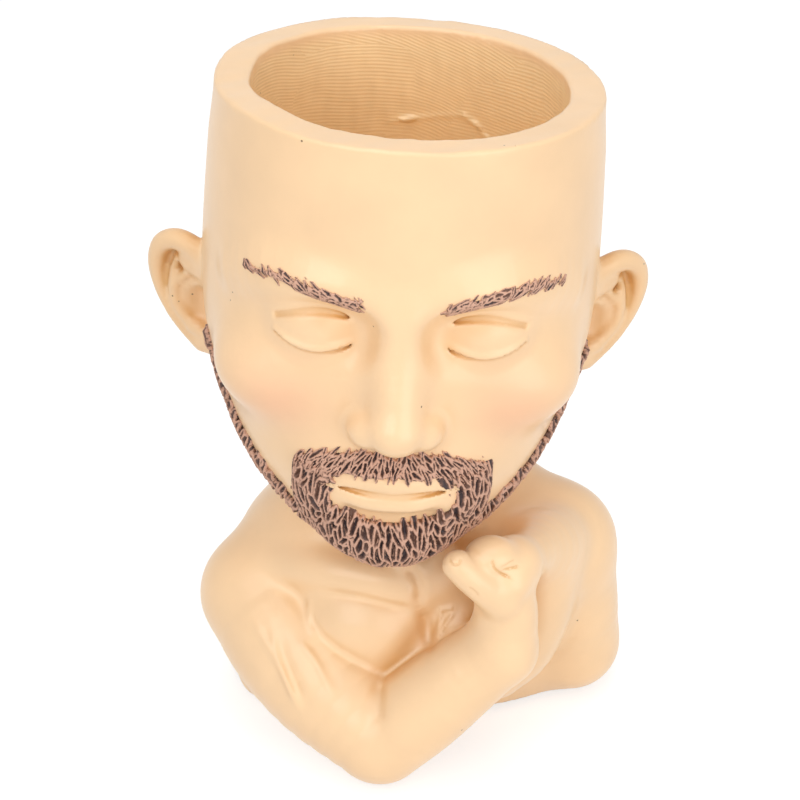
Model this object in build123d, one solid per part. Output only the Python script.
"""Head planter: a bearded head with an open crown, carried by a small bust that rests its chin on one hand.

The planter is cast in sections that are bonded together. The head is the pot, its neck has a spigot
that seats in the bust, and a drain channel runs down the middle of that spigot to a rubber plug.
Ears, hair relief, arms and hand are bonded on, and the planter stands on small pads.

Millimetres, +Z up, the figure faces -Y and its right arm is on -X.
"""
import os

from build123d import *

# Heights: two levels over the surface that the planter stands on, then each rise over the level below
ELBOW_HEIGHT = 14.0
WAIST_HEIGHT = 28.0
SHOULDER_RISE = 28.0
COLLAR_RISE = 16.0
NECK_SEAT_RISE = 10.5
CHIN_DROP = 2.5
JAW_RISE = 7.0
MOUTH_RISE = 20.0
NOSE_BASE_RISE = 14.0
CHEEK_RISE = 15.0
EYE_RISE = 15.0
BROW_RISE = 11.0
TEMPLE_RISE = 24.0
RIM_RISE = 17.0
POT_FLOOR_RISE = 25.5

# Head, measured from its own axis, which leans sideways about the middle of the rim.
# Below the rim it swells, and each section under the eyes is drawn in from the one over it.
RIM_DIAMETER = 105.0
HEAD_SWELL = 3.0
FACE_SWELL = 1.5
HEAD_BACK_SWELL = 4.5
MOUTH_TAPER = 14.0
MOUTH_SET_BACK = 2.0
MOUTH_BACK_SET_IN = 6.0
MOUTH_BACK_RISE = 15.0
JAW_TAPER = 19.0
CHIN_SET_BACK = 3.5
JAW_BACK_SET_IN = 8.0
JAW_BACK_RISE = 19.0
UNDERJAW_TAPER = 26.0
UNDERJAW_SET_BACK = 11.5
UNDERJAW_BACK_SET_IN = 12.0
UNDERJAW_BACK_RISE = 16.0
HEAD_ROLL = 3.0
WALL = 9.5
POT_FLOOR_SIDE = 17.5
POT_FLOOR_FRONT = 19.0
POT_FLOOR_BACK = 24.0
RIM_ROUND = 1.2

# Face relief
NOSE_ROOT_WIDTH = 9.0
NOSE_ROOT_SINK = 3.0
NOSE_BRIDGE_WIDTH = 12.0
NOSE_BRIDGE_STAND = 4.5
NOSE_WIDTH = 22.0
NOSE_TIP_STAND = 12.0
NOSE_TIP_LIFT = 6.0
NOSE_BASE_STAND = 5.0
EYE_SPACING = 45.0
EYELID_WIDTH = 27.0
EYELID_HEIGHT = 15.0
EYELID_RELIEF = 1.6
LIP_WIDTH = 34.0
LIP_HEIGHT = 6.0
LIP_DEPTH = 24.0
LIP_RELIEF = 1.6
LIP_SPACING = 5.4
NOSTRIL_WIDTH = 9.2
NOSTRIL_DEPTH = 12.4
NOSTRIL_HEIGHT = 8.4
NOSTRIL_SPACING = 14.8
NOSTRIL_STAND = 6.8
BROW_RIDGE_DIAMETER = 9.0
BROW_RIDGE_SINK = 2.5
BROW_RIDGE_RISE = 4.0
BROW_RIDGE_INNER = 6.0
BROW_RIDGE_MIDDLE = 21.0
BROW_RIDGE_OUTER = 36.0
SOCKET_WIDTH = 30.0
SOCKET_DEPTH = 16.0
SOCKET_HEIGHT = 19.0
SOCKET_CUT = 2.5
CHEEK_SPACING = 66.0
CHEEK_WIDTH = 34.0
CHEEK_DEPTH = 32.0
CHEEK_BULK = 30.0
CHEEK_DROP = 3.0
CHEEK_STAND = 4.0
MUZZLE_WIDTH = 50.0
MUZZLE_DEPTH = 34.0
MUZZLE_HEIGHT = 34.0
MUZZLE_STAND = 3.5
CHIN_WIDTH = 28.0
CHIN_DEPTH = 23.0
CHIN_BULK = 19.0
CHIN_STAND = 3.5

# Ears
EAR_HEIGHT = 41.0
EAR_WIDTH = 27.0
EAR_LOBE_WIDTH = 16.5
EAR_LOBE_SHARE = 0.6
EAR_BROAD_SHARE = 0.3
EAR_THICKNESS = 7.0
EAR_ROUND = 1.6
EAR_DROP = 3.0
EAR_CENTRE_DEPTH = 7.0
EAR_STAND_OUT = 17.5
EAR_FLARE = 55.0
EAR_LEAN = 9.0
EAR_BOWL_SHARE = 0.72
EAR_BOWL_DEPTH = 3.5

# Hair relief
HAIR_RELIEF = 2.6
BROW_LENGTH = 31.0
BROW_BAND = 4.2
BROW_ARCH = 7.0
BROW_GAP = 22.0
BROW_PEAK_SHARE = 0.62
BROW_TAIL_DROP = 2.4
BEARD_BAND = 9.0
BEARD_SLOPE = 34.0
BEARD_EAR_GAP = 0.5
BEARD_UNDERCUT = 14.0
BEARD_MOUTH_DROP = 10.0
BEARD_MOUTH_WIDTH = 41.0
BEARD_OUTER_WIDTH = 59.0
MOUSTACHE_BAND = 9.0
MOUSTACHE_DROP = 1.2
MOUSTACHE_SHOULDER_SHARE = 0.5

# Bust
BASE_WIDTH = 116.0
BASE_REACH = 15.0
BASE_BACK_REACH = 47.0
WAIST_WIDTH = 116.0
WAIST_REACH = 23.0
WAIST_BACK_REACH = 48.0
SHOULDER_WIDTH = 114.0
SHOULDER_REACH = 33.0
SHOULDER_BACK_REACH = 45.0
COLLAR_WIDTH = 90.0
COLLAR_REACH = 26.0
COLLAR_BACK_REACH = 37.0
NECK_BASE_DIAMETER = 50.0
NECK_DIAMETER = 44.0
NECK_OFFSET = 6.0
NECK_SIDE_OFFSET = 5.0
SPIGOT_DIAMETER = 30.0
BOND_GAP = 0.15
BUST_WALL = 6.5
BUST_CEILING = 18.0
CHEST_WIDTH = 42.0
CHEST_HEIGHT = 31.0
CHEST_DEPTH = 36.0
CHEST_SPACING = 36.0
CHEST_SIDE_OFFSET = 5.0
CHEST_STAND = 3.0
CHEST_DROP = 9.5
BLADE_WIDTH = 42.0
BLADE_DEPTH = 34.0
BLADE_HEIGHT = 54.0
BLADE_SPACING = 50.0
BLADE_STAND = 2.5
BLADE_DROP = 10.0
NECK_SLOPE_DIAMETER = 26.0
NECK_SLOPE_WAIST = 24.0
NECK_SLOPE_BEHIND = 12.0
NECK_SLOPE_SPACING = 10.0

# Arms and hand
SHOULDER_INSET = 13.5
SHOULDER_DEPTH = 3.0
RIGHT_SHOULDER_DROP = 13.0
RIGHT_SHOULDER_FORWARD = 7.0
DELTOID_DIAMETER = 41.0
UPPER_ARM_DIAMETER = 41.0
UPPER_ARM_TAPER = 0.94
ELBOW_DIAMETER = 32.0
FOREARM_DIAMETER = 30.0
FOREARM_TAPER = 0.9
WRIST_DIAMETER = 21.0
ELBOW_OVERLAP = 0.02
RIGHT_ELBOW_X = -10.0
RIGHT_ELBOW_REACH = 41.0
RIGHT_WRIST_X = 24.0
RIGHT_WRIST_BEHIND_CHIN = 4.5
RIGHT_WRIST_UNDER_CHIN = 33.0
LEFT_ELBOW_SPREAD = 6.5
LEFT_ELBOW_DEPTH = 3.0
LEFT_WRIST_X = 22.0
LEFT_WRIST_DEPTH = 0.0
LEFT_WRIST_RISE = 1.0
HAND_LENGTH = 26.0
HAND_LEAN = 4.0
HAND_DIAMETER = 22.5
HAND_TAPER = 0.82
KNUCKLE_WIDTH = 15.0
KNUCKLE_DEPTH = 17.0
KNUCKLE_HEIGHT = 13.0
KNUCKLE_SIDE = 6.5
KNUCKLE_BACK = 2.0
KNUCKLE_LIFT = 31.0
INDEX_WIDTH = 16.0
INDEX_DEPTH = 13.5
INDEX_HEIGHT = 12.0
INDEX_SIDE = 1.0
INDEX_STAND = 2.3
INDEX_LIFT = 32.5
THUMB_ROOT_DIAMETER = 12.5
THUMB_TIP_DIAMETER = 9.0
THUMB_ROOT_SIDE = 2.5
THUMB_ROOT_STAND = 5.0
THUMB_ROOT_LIFT = 19.0
THUMB_LEAN = 15.5
THUMB_REACH = 2.0
THUMB_RISE = 15.0

# Drain and feet
DRAIN_DIAMETER = 10.0
PLUG_GAP = 0.08
PLUG_LENGTH = 13.0
PLUG_FLANGE_DIAMETER = 18.0
PLUG_FLANGE_THICKNESS = 3.0
PLUG_TAB_LENGTH = 9.0
PLUG_TAB_THICKNESS = 3.0
PLUG_TAB_WIDTH = 8.0
PAD_DIAMETER = 6.0
PAD_THICKNESS = 2.0
PAD_ANGLES = (40.0, 140.0, 200.0, 340.0)

# Levels that follow from the rises
SHOULDER_HEIGHT = WAIST_HEIGHT + SHOULDER_RISE
COLLAR_HEIGHT = SHOULDER_HEIGHT + COLLAR_RISE
NECK_SEAT_HEIGHT = COLLAR_HEIGHT + NECK_SEAT_RISE
CHIN_HEIGHT = NECK_SEAT_HEIGHT - CHIN_DROP
JAW_HEIGHT = CHIN_HEIGHT + JAW_RISE
MOUTH_HEIGHT = JAW_HEIGHT + MOUTH_RISE
NOSE_BASE_HEIGHT = MOUTH_HEIGHT + NOSE_BASE_RISE
CHEEK_HEIGHT = NOSE_BASE_HEIGHT + CHEEK_RISE
EYE_HEIGHT = CHEEK_HEIGHT + EYE_RISE
BROW_HEIGHT = EYE_HEIGHT + BROW_RISE
TEMPLE_HEIGHT = BROW_HEIGHT + TEMPLE_RISE
RIM_HEIGHT = TEMPLE_HEIGHT + RIM_RISE
POT_FLOOR_HEIGHT = NECK_SEAT_HEIGHT + POT_FLOOR_RISE

# Widths and reaches of the head's sections, from the rim down
HEAD_WIDTH = RIM_DIAMETER + 2 * HEAD_SWELL
FACE_REACH = RIM_DIAMETER / 2 + FACE_SWELL
HEAD_BACK_REACH = RIM_DIAMETER / 2 + HEAD_BACK_SWELL
MOUTH_WIDTH = HEAD_WIDTH - MOUTH_TAPER
MOUTH_REACH = FACE_REACH - MOUTH_SET_BACK
MOUTH_BACK_REACH = HEAD_BACK_REACH - MOUTH_BACK_SET_IN
JAW_WIDTH = MOUTH_WIDTH - JAW_TAPER
CHIN_REACH = MOUTH_REACH - CHIN_SET_BACK
JAW_BACK_REACH = MOUTH_BACK_REACH - JAW_BACK_SET_IN
UNDERJAW_WIDTH = JAW_WIDTH - UNDERJAW_TAPER
UNDERJAW_REACH = CHIN_REACH - UNDERJAW_SET_BACK
UNDERJAW_BACK_REACH = JAW_BACK_REACH - UNDERJAW_BACK_SET_IN

FAR = 3 * RIM_HEIGHT  # larger than the planter, for half spaces and long cuts
HEAD_TILT = Pos(0, 0, RIM_HEIGHT) * Rot(0, HEAD_ROLL, 0) * Pos(0, 0, -RIM_HEIGHT)
NECK_PLACE = Pos(-NECK_SIDE_OFFSET, NECK_OFFSET, 0)
STANDING = (Align.CENTER, Align.CENTER, Align.MIN)
HANGING = (Align.CENTER, Align.CENTER, Align.MAX)


def oval(width, reach, back_reach, height, back_rise=0.0):
    """A flat oval across the upright axis: its front lies at -reach, and its back is higher by back_rise."""
    run = reach + back_reach
    slope_length = (run**2 + back_rise**2) ** 0.5
    middle = (0, (back_reach - reach) / 2, height + back_rise / 2)
    plane = Plane(origin=middle, x_dir=(1, 0, 0), z_dir=(0, -back_rise, run))
    return plane * Ellipse(width / 2, slope_length / 2)


def ellipsoid(width, depth, height):
    """A solid egg shape about the origin with these three full sizes."""
    return scale(Sphere(1), by=(width / 2, depth / 2, height / 2))


def above(height):
    """Everything over a level."""
    return Pos(0, 0, height) * Box(FAR, FAR, FAR, align=STANDING)


def limb(start, end, diameters):
    """A round limb from start to end with these diameters evenly spaced along it and domed ends."""
    axis = end - start
    first, last = diameters[0] / 2, diameters[-1] / 2
    step = axis.length / (len(diameters) - 1)
    outline = [(i * step, d / 2) for i, d in enumerate(diameters)]
    flank = Spline(*outline, tangents=[(1, 0), (1, 0)])
    first_dome = CenterArc((0, 0), first, 90, 90)
    last_dome = CenterArc((axis.length, 0), last, 0, 90)
    middle = Line((-first, 0), (axis.length + last, 0))
    solid = revolve(make_face([flank, first_dome, middle, last_dome]), Axis.X)
    side = axis.cross(Vector(0, 1, 0))
    return Plane(origin=start, x_dir=axis, z_dir=side) * solid


def head_skin(grow=0.0):
    """The head's outer form as one smooth loft from under the jaw to the rim, grown outwards by grow."""
    bore = RIM_DIAMETER / 2
    temple_width = (HEAD_WIDTH + RIM_DIAMETER) / 2
    temple_reach = (FACE_REACH + bore) / 2
    temple_back = (HEAD_BACK_REACH + bore) / 2
    underside = CHIN_HEIGHT - grow
    sections = [
        (UNDERJAW_WIDTH, UNDERJAW_REACH, UNDERJAW_BACK_REACH, underside, UNDERJAW_BACK_RISE),
        (JAW_WIDTH, CHIN_REACH, JAW_BACK_REACH, JAW_HEIGHT, JAW_BACK_RISE),
        (MOUTH_WIDTH, MOUTH_REACH, MOUTH_BACK_REACH, MOUTH_HEIGHT, MOUTH_BACK_RISE),
        (HEAD_WIDTH, FACE_REACH, HEAD_BACK_REACH, CHEEK_HEIGHT, 0.0),
        (HEAD_WIDTH, FACE_REACH, HEAD_BACK_REACH, EYE_HEIGHT, 0.0),
        (temple_width, temple_reach, temple_back, TEMPLE_HEIGHT, 0.0),
        (RIM_DIAMETER, bore, bore, RIM_HEIGHT, 0.0),
    ]
    return loft(
        [
            oval(width + 2 * grow, reach + grow, back + grow, height, rise)
            for width, reach, back, height, rise in sections
        ]
    )


def pot_cavity():
    """The planting space: a flat floor, rounded flanks and an open top."""
    flank = (POT_FLOOR_HEIGHT + EYE_HEIGHT) / 2
    wide = HEAD_WIDTH - 2 * WALL
    bore = RIM_DIAMETER / 2 - WALL
    floor_width = MOUTH_WIDTH - 2 * POT_FLOOR_SIDE
    floor_reach = MOUTH_REACH - POT_FLOOR_FRONT
    floor_back = MOUTH_BACK_REACH - POT_FLOOR_BACK
    return loft(
        [
            oval(floor_width, floor_reach, floor_back, POT_FLOOR_HEIGHT),
            oval(wide, FACE_REACH - WALL, HEAD_BACK_REACH - WALL, flank),
            oval(wide, FACE_REACH - WALL, HEAD_BACK_REACH - WALL, EYE_HEIGHT),
            oval(2 * bore, bore, bore, RIM_HEIGHT),
            oval(2 * bore, bore, bore, RIM_HEIGHT + WALL),
        ]
    )


def face_depth(x):
    """How far the face stands in front of the axis at a distance x from the middle line, at eye level."""
    return FACE_REACH * (1 - (2 * x / HEAD_WIDTH) ** 2) ** 0.5


def nose():
    """A straight nose that grows out of the face between the brows and ends at its base."""
    buried = WALL / 2 - FACE_REACH
    bridge_height = (BROW_HEIGHT + NOSE_BASE_HEIGHT) / 2
    levels = [
        (NOSE_ROOT_WIDTH, -NOSE_ROOT_SINK, BROW_HEIGHT),
        (NOSE_BRIDGE_WIDTH, NOSE_BRIDGE_STAND, bridge_height),
        (NOSE_WIDTH, NOSE_TIP_STAND, NOSE_BASE_HEIGHT + NOSE_TIP_LIFT),
        (NOSE_WIDTH, NOSE_BASE_STAND, NOSE_BASE_HEIGHT),
    ]
    return loft([oval(width, FACE_REACH + stand, buried, height) for width, stand, height in levels])


def eyelid(side):
    """A closed eyelid, a low dome on the face."""
    x = side * EYE_SPACING / 2
    dome = ellipsoid(EYELID_WIDTH, EYELID_HEIGHT, EYELID_HEIGHT)
    return Pos(x, -face_depth(x) + EYELID_HEIGHT / 2 - EYELID_RELIEF, EYE_HEIGHT) * dome


def lips():
    """Two closed lips, one roll over the other."""
    roll = ellipsoid(LIP_WIDTH, LIP_DEPTH, LIP_HEIGHT)
    seat = -MOUTH_REACH - MUZZLE_STAND + LIP_DEPTH / 2 - LIP_RELIEF
    upper = Pos(0, seat, MOUTH_HEIGHT + LIP_SPACING / 2) * roll
    lower = Pos(0, seat, MOUTH_HEIGHT - LIP_SPACING / 2) * roll
    return upper + lower


def nostril(side):
    """The rounded wing of the nose on one side."""
    wing = ellipsoid(NOSTRIL_WIDTH, NOSTRIL_DEPTH, NOSTRIL_HEIGHT)
    depth = FACE_REACH + NOSTRIL_STAND - NOSTRIL_DEPTH / 2
    return Pos(side * NOSTRIL_SPACING / 2, -depth, NOSE_BASE_HEIGHT + NOSTRIL_HEIGHT / 2) * wing


def brow_ridge(side, grow=0.0):
    """The bony ridge over one eye, from the root of the nose to the temple, grown outwards by grow."""
    levels = [
        (BROW_RIDGE_INNER, BROW_HEIGHT - BROW_RIDGE_RISE),
        (BROW_RIDGE_MIDDLE, BROW_HEIGHT),
        (BROW_RIDGE_OUTER, BROW_HEIGHT),
    ]
    points = [Vector(side * x, BROW_RIDGE_SINK - face_depth(x), height) for x, height in levels]
    sizes = (BROW_RIDGE_DIAMETER + 2 * grow, BROW_RIDGE_DIAMETER + 2 * grow)
    return limb(points[0], points[1], sizes) + limb(points[1], points[2], sizes)


def eye_socket(side):
    """The hollow that an eye lies in."""
    x = side * EYE_SPACING / 2
    hollow = ellipsoid(SOCKET_WIDTH, SOCKET_DEPTH, SOCKET_HEIGHT)
    return Pos(x, SOCKET_CUT - face_depth(x) - SOCKET_DEPTH / 2, EYE_HEIGHT) * hollow


def cheek(side):
    """The rounded cheek under one eye."""
    x = side * CHEEK_SPACING / 2
    bulk = ellipsoid(CHEEK_WIDTH, CHEEK_DEPTH, CHEEK_BULK)
    depth = face_depth(x) + CHEEK_STAND - CHEEK_DEPTH / 2
    return Pos(x, -depth, CHEEK_HEIGHT - CHEEK_DROP) * bulk


def muzzle(grow=0.0):
    """The rounded form round the mouth, grown outwards by grow."""
    bulk = ellipsoid(MUZZLE_WIDTH + 2 * grow, MUZZLE_DEPTH + 2 * grow, MUZZLE_HEIGHT + 2 * grow)
    return Pos(0, MUZZLE_DEPTH / 2 - MOUTH_REACH - MUZZLE_STAND, MOUTH_HEIGHT) * bulk


def chin(grow=0.0):
    """The rounded point of the chin, grown outwards by grow."""
    bulk = ellipsoid(CHIN_WIDTH + 2 * grow, CHIN_DEPTH + 2 * grow, CHIN_BULK + 2 * grow)
    return Pos(0, CHIN_DEPTH / 2 - CHIN_REACH - CHIN_STAND, JAW_HEIGHT) * bulk


def lower_face(grow=0.0):
    """The head with its mouth and chin forms, grown outwards by grow, which the hair lies on."""
    return head_skin(grow) + muzzle(grow) + chin(grow)


def face_form():
    """The filled head with its face relief, upright."""
    form = lower_face()
    for side in (-1, 1):
        form += cheek(side)
        form += brow_ridge(side)
        form -= eye_socket(side)
    form += nose()
    for side in (-1, 1):
        form += eyelid(side)
        form += nostril(side)
    return form + lips()


def neck():
    """The neck, upright under the leaning head, with the spigot that seats in the bust."""
    column_height = POT_FLOOR_HEIGHT - WALL / 2 - NECK_SEAT_HEIGHT
    column = Cylinder(NECK_DIAMETER / 2, column_height, align=STANDING)
    spigot = Cylinder(SPIGOT_DIAMETER / 2, BUST_CEILING, align=HANGING)
    return NECK_PLACE * (Pos(0, 0, NECK_SEAT_HEIGHT) * (column + spigot))


def drain_channel():
    """The round hole from the pot's floor down through the neck."""
    return NECK_PLACE * Cylinder(DRAIN_DIAMETER / 2, POT_FLOOR_HEIGHT + WALL, align=STANDING)


def head_pot(form):
    """The pot: head wall, face relief, neck and drain channel in one casting."""
    pot = HEAD_TILT * form + neck()
    pot = pot - HEAD_TILT * pot_cavity() - drain_channel()
    top = pot.faces().sort_by(Axis.Z)[-1]
    return fillet(top.edges(), RIM_ROUND)


def ear_outline(share):
    """The ear's outline from the side, broad above and narrow at the lobe, made smaller by share."""
    broad = share * EAR_WIDTH / 2
    lobe = share * EAR_LOBE_WIDTH / 2
    top = share * EAR_HEIGHT / 2
    upper, lower = EAR_BROAD_SHARE * top, -EAR_LOBE_SHARE * top
    points = [(0, top), (broad, upper), (lobe, lower), (0, -top), (-lobe, lower), (-broad, upper)]
    return Plane.YZ * make_face(Spline(*points, periodic=True))


def ear(side):
    """A cupped ear: a rounded leaf set on the side of the head, hollowed from the front and outside."""
    leaf = extrude(ear_outline(1), EAR_THICKNESS)
    bowl = Pos(EAR_THICKNESS - EAR_BOWL_DEPTH, 0, 0) * extrude(ear_outline(EAR_BOWL_SHARE), EAR_THICKNESS)
    cup = leaf - bowl
    cup = fillet(cup.edges().filter_by_position(Axis.X, EAR_THICKNESS, EAR_THICKNESS), EAR_ROUND)
    shape = Rot(0, EAR_LEAN, 0) * (Rot(0, 0, -EAR_FLARE) * cup)
    outer = HEAD_WIDTH / 2 + EAR_STAND_OUT
    shape = Pos(outer - shape.bounding_box().max.X, EAR_CENTRE_DEPTH, CHEEK_HEIGHT - EAR_DROP) * shape
    return shape if side > 0 else mirror(shape, about=Plane.YZ)


def front_prism(outline):
    """A front-view outline in X and Z, carried right through the face half of the head."""
    face = Plane.XZ * make_face(outline)
    return extrude(face, FAR)


def eyebrow_region(side):
    """An arched band over one eye: thick next to the nose and pointed at the outer end."""
    inner_x = side * BROW_GAP / 2
    peak_x = side * (BROW_GAP / 2 + BROW_PEAK_SHARE * BROW_LENGTH)
    outer_x = side * (BROW_GAP / 2 + BROW_LENGTH)
    peak = BROW_HEIGHT + BROW_ARCH / 2
    start = BROW_HEIGHT - BROW_ARCH / 2
    lower_start = (inner_x, start)
    upper_start = (inner_x, start + BROW_BAND)
    outer = (outer_x, BROW_HEIGHT - BROW_TAIL_DROP)
    upper = ThreePointArc(upper_start, (peak_x, peak), outer)
    lower = ThreePointArc(outer, (peak_x, peak - BROW_BAND), lower_start)
    return front_prism([Line(lower_start, upper_start), upper, lower])


def moustache_region():
    """A drooping moustache between the nose and the mouth."""
    half = BEARD_OUTER_WIDTH / 2
    mouth_half = BEARD_MOUTH_WIDTH / 2
    top = NOSE_BASE_HEIGHT
    bottom = top - MOUSTACHE_BAND
    shoulder = (MOUSTACHE_SHOULDER_SHARE * half, top - MOUSTACHE_DROP)
    corner = (MOUSTACHE_SHOULDER_SHARE * mouth_half, bottom - MOUSTACHE_DROP)
    outer = Spline((0, top), shoulder, (half, MOUTH_HEIGHT))
    inner = Spline((mouth_half, MOUTH_HEIGHT), corner, (0, bottom))
    right = [outer, Line((half, MOUTH_HEIGHT), (mouth_half, MOUTH_HEIGHT)), inner]
    left = [mirror(edge, about=Plane.YZ) for edge in right]
    return front_prism(right + left)


def beard_region():
    """Where the beard grows: a sloping band along the jaw and a full patch round the mouth and chin."""
    band = Pos(0, -CHIN_REACH, JAW_HEIGHT) * (Rot(BEARD_SLOPE, 0, 0) * Box(FAR, FAR, BEARD_BAND))
    half = BEARD_OUTER_WIDTH / 2
    mouth_half = BEARD_MOUTH_WIDTH / 2
    low = CHIN_HEIGHT - 2 * HAIR_RELIEF
    left_end, right_end = (-mouth_half, MOUTH_HEIGHT), (mouth_half, MOUTH_HEIGHT)
    sides = Polyline(
        right_end,
        (half, MOUTH_HEIGHT),
        (half, low),
        (-half, low),
        (-half, MOUTH_HEIGHT),
        left_end,
    )
    mouth_edge = ThreePointArc(left_end, (0, MOUTH_HEIGHT - BEARD_MOUTH_DROP), right_end)
    before = Box(FAR, FAR, FAR, align=(Align.CENTER, Align.MAX, Align.CENTER))
    ear_front = ear(1).bounding_box().min.Y
    strap = band & (Pos(0, ear_front - BEARD_EAR_GAP, 0) * before)
    patch = front_prism([sides, mouth_edge]) & (Pos(0, BEARD_UNDERCUT - CHIN_REACH, 0) * before)
    return strap + patch


def bust_form():
    """The outside of the chest, shoulders and neck base, filled."""
    neck_base = NECK_BASE_DIAMETER / 2
    outer = loft(
        [
            oval(BASE_WIDTH, BASE_REACH, BASE_BACK_REACH, PAD_THICKNESS),
            oval(WAIST_WIDTH, WAIST_REACH, WAIST_BACK_REACH, WAIST_HEIGHT),
            oval(SHOULDER_WIDTH, SHOULDER_REACH, SHOULDER_BACK_REACH, SHOULDER_HEIGHT),
            oval(COLLAR_WIDTH, COLLAR_REACH, COLLAR_BACK_REACH, COLLAR_HEIGHT),
            NECK_PLACE * oval(2 * neck_base, neck_base, neck_base, NECK_SEAT_HEIGHT),
        ]
    )
    muscle = ellipsoid(CHEST_WIDTH, CHEST_DEPTH, CHEST_HEIGHT)
    blade = ellipsoid(BLADE_WIDTH, BLADE_DEPTH, BLADE_HEIGHT)
    chest_seat = CHEST_DEPTH / 2 - SHOULDER_REACH - CHEST_STAND
    blade_seat = SHOULDER_BACK_REACH + BLADE_STAND - BLADE_DEPTH / 2
    slope_sizes = (NECK_SLOPE_DIAMETER, NECK_SLOPE_WAIST, NECK_SLOPE_DIAMETER)
    for side, shoulder in ((-1, right_shoulder()), (1, left_shoulder())):
        chest_x = CHEST_SIDE_OFFSET + side * CHEST_SPACING / 2
        outer += Pos(chest_x, chest_seat, SHOULDER_HEIGHT - CHEST_DROP) * muscle
        outer += Pos(side * BLADE_SPACING / 2, blade_seat, SHOULDER_HEIGHT - BLADE_DROP) * blade
        nape_x = side * NECK_SLOPE_SPACING / 2 - NECK_SIDE_OFFSET
        nape = Vector(nape_x, NECK_OFFSET + NECK_SLOPE_BEHIND, NECK_SEAT_HEIGHT)
        outer += limb(nape, shoulder, slope_sizes) - above(NECK_SEAT_HEIGHT)
    return outer


def bust_hollow():
    """The space inside the bust, open underneath, with the round socket for the neck over it."""
    hollow_top = NECK_SEAT_HEIGHT - BUST_CEILING
    levels = [
        (BASE_WIDTH, BASE_REACH, BASE_BACK_REACH, 0),
        (BASE_WIDTH, BASE_REACH, BASE_BACK_REACH, PAD_THICKNESS),
        (WAIST_WIDTH, WAIST_REACH, WAIST_BACK_REACH, WAIST_HEIGHT),
        (COLLAR_WIDTH, COLLAR_REACH, COLLAR_BACK_REACH, hollow_top),
    ]
    hollow = loft(
        [
            oval(width - 2 * BUST_WALL, reach - BUST_WALL, back - BUST_WALL, height)
            for width, reach, back, height in levels
        ]
    )
    socket = NECK_PLACE * Cylinder(SPIGOT_DIAMETER / 2 + BOND_GAP, FAR, align=STANDING)
    return hollow + socket


def right_shoulder():
    """The middle of the shoulder that is lowered and brought forward."""
    return Vector(
        SHOULDER_INSET - SHOULDER_WIDTH / 2,
        SHOULDER_DEPTH - RIGHT_SHOULDER_FORWARD,
        SHOULDER_HEIGHT - RIGHT_SHOULDER_DROP,
    )


def left_shoulder():
    """The middle of the shoulder over the arm that hangs."""
    return Vector(SHOULDER_WIDTH / 2 - SHOULDER_INSET, SHOULDER_DEPTH, SHOULDER_HEIGHT)


def right_elbow():
    """The elbow that rests at the front of the base."""
    return Vector(RIGHT_ELBOW_X, -RIGHT_ELBOW_REACH, ELBOW_HEIGHT)


def right_wrist():
    """The wrist under the chin."""
    reach = CHIN_REACH - RIGHT_WRIST_BEHIND_CHIN
    return Vector(RIGHT_WRIST_X, -reach, CHIN_HEIGHT - RIGHT_WRIST_UNDER_CHIN)


def left_elbow():
    """The elbow at the figure's left side."""
    return Vector(left_shoulder().X + LEFT_ELBOW_SPREAD, LEFT_ELBOW_DEPTH, ELBOW_HEIGHT)


def left_wrist():
    """The wrist that is tucked under the other arm."""
    return Vector(LEFT_WRIST_X, LEFT_WRIST_DEPTH, ELBOW_HEIGHT + LEFT_WRIST_RISE)


def arm(shoulder, elbow, wrist):
    """An upper arm and a forearm that meet at the elbow, cut level where they reach the base."""
    upper_sizes = (DELTOID_DIAMETER, UPPER_ARM_DIAMETER, UPPER_ARM_TAPER * UPPER_ARM_DIAMETER, ELBOW_DIAMETER)
    fore_sizes = (ELBOW_DIAMETER, FOREARM_DIAMETER, FOREARM_TAPER * FOREARM_DIAMETER, WRIST_DIAMETER)
    fore_start = elbow + (wrist - elbow) * ELBOW_OVERLAP
    both = limb(shoulder, elbow, upper_sizes) + limb(fore_start, wrist, fore_sizes)
    return both & above(PAD_THICKNESS)


def hand():
    """A loose fist over the wrist: palm, knuckles, index finger and the thumb laid along the chin."""
    wrist = right_wrist()
    palm_top = wrist + Vector(HAND_LEAN, 0, HAND_LENGTH)
    shape = limb(wrist, palm_top, (HAND_DIAMETER, HAND_TAPER * HAND_DIAMETER))
    knuckles = wrist + Vector(KNUCKLE_SIDE, KNUCKLE_BACK, KNUCKLE_LIFT)
    shape += Pos(*knuckles) * ellipsoid(KNUCKLE_WIDTH, KNUCKLE_DEPTH, KNUCKLE_HEIGHT)
    index = wrist + Vector(-INDEX_SIDE, -INDEX_STAND, INDEX_LIFT)
    shape += Pos(*index) * ellipsoid(INDEX_WIDTH, INDEX_DEPTH, INDEX_HEIGHT)
    root = wrist + Vector(THUMB_ROOT_SIDE, -THUMB_ROOT_STAND, THUMB_ROOT_LIFT)
    tip = root + Vector(-THUMB_LEAN, -THUMB_REACH, THUMB_RISE)
    middle = (THUMB_ROOT_DIAMETER + THUMB_TIP_DIAMETER) / 2
    shape += limb(root, tip, (THUMB_ROOT_DIAMETER, middle, THUMB_TIP_DIAMETER))
    return shape


def drain_plug():
    """A rubber stopper that is pushed up into the drain channel, with a tab to pull it by."""
    seat = Pos(0, 0, NECK_SEAT_HEIGHT - BUST_CEILING)
    stem = Cylinder(DRAIN_DIAMETER / 2 - PLUG_GAP, PLUG_LENGTH, align=STANDING)
    flange = Cylinder(PLUG_FLANGE_DIAMETER / 2, PLUG_FLANGE_THICKNESS, align=HANGING)
    tab = Box(PLUG_TAB_WIDTH, PLUG_TAB_THICKNESS, PLUG_TAB_LENGTH, align=HANGING)
    return NECK_PLACE * (seat * (stem + flange + Pos(0, 0, -PLUG_FLANGE_THICKNESS) * tab))


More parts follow.
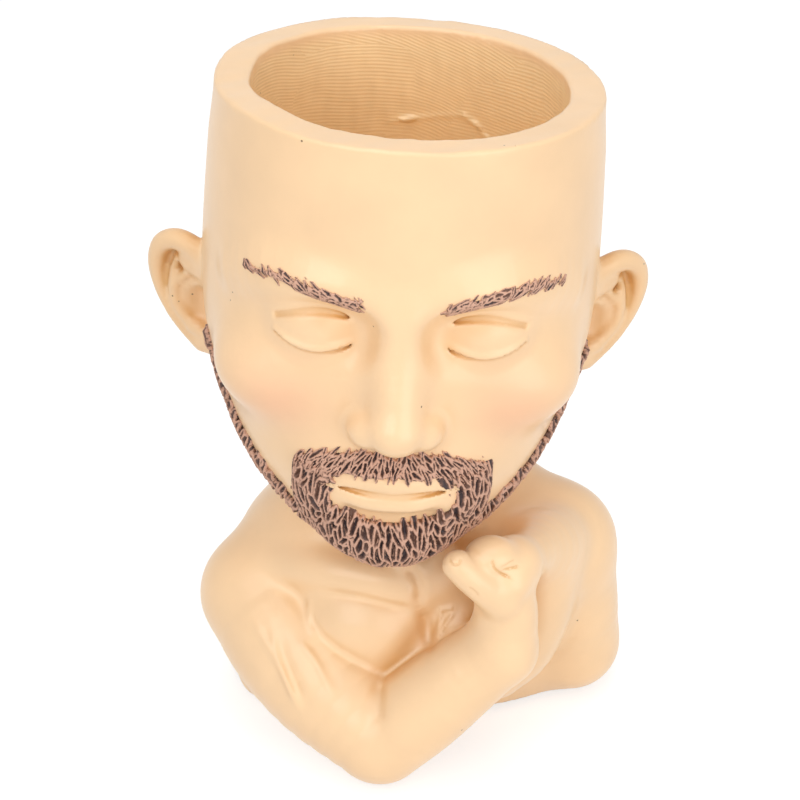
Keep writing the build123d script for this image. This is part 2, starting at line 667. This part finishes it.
def foot_pads():
    """Four round pads under the wall of the bust and one under the front elbow."""
    wide = (BASE_WIDTH - BUST_WALL) / 2
    deep = (BASE_REACH + BASE_BACK_REACH - BUST_WALL) / 2
    middle = (BASE_BACK_REACH - BASE_REACH) / 2
    pad = Cylinder(PAD_DIAMETER / 2, PAD_THICKNESS, align=STANDING)
    places = [(RIGHT_ELBOW_X, -RIGHT_ELBOW_REACH)]
    for angle in PAD_ANGLES:
        way = Vector(1, 0, 0).rotate(Axis.Z, angle)
        places.append((wide * way.X, middle + deep * way.Y))
    return Compound(children=[Pos(x, y, 0) * pad for x, y in places])


def build():
    """Every piece by its name, each cut back to the pieces that it is bonded to."""
    form = face_form()
    pot = head_pot(form)
    torso = bust_form()
    right_arm = arm(right_shoulder(), right_elbow(), right_wrist()) - torso
    left_arm = arm(left_shoulder(), left_elbow(), left_wrist()) - torso - right_arm
    hair = lower_face(HAIR_RELIEF) + brow_ridge(-1, HAIR_RELIEF) + brow_ridge(1, HAIR_RELIEF) - form
    beard = HEAD_TILT * (hair & beard_region()) - neck()
    pieces = {
        "head_pot": pot,
        "bust": torso - bust_hollow(),
        "right_arm": right_arm,
        "left_arm": left_arm,
        "beard": beard,
        "moustache": HEAD_TILT * (hair & moustache_region()) - beard,
        "right_hand": hand() - right_arm - torso - pot - beard,
        "drain_plug": drain_plug(),
        "foot_pads": foot_pads(),
    }
    for side, name in ((-1, "right"), (1, "left")):
        pieces[f"{name}_ear"] = HEAD_TILT * (ear(side) - form)
        pieces[f"{name}_eyebrow"] = HEAD_TILT * (hair & eyebrow_region(side))
    return pieces


def main():
    """Centres the planter on its base and writes each piece."""
    pieces = build()
    boxes = [piece.bounding_box() for piece in pieces.values()]
    low = [min(tuple(box.min)[i] for box in boxes) for i in range(3)]
    high = [max(tuple(box.max)[i] for box in boxes) for i in range(3)]
    to_origin = Pos(-(low[0] + high[0]) / 2, -(low[1] + high[1]) / 2, -low[2])
    os.makedirs("parts", exist_ok=True)
    for name, piece in pieces.items():
        export_step(to_origin * piece, f"parts/{name}.step")


if __name__ == "__main__":
    main()
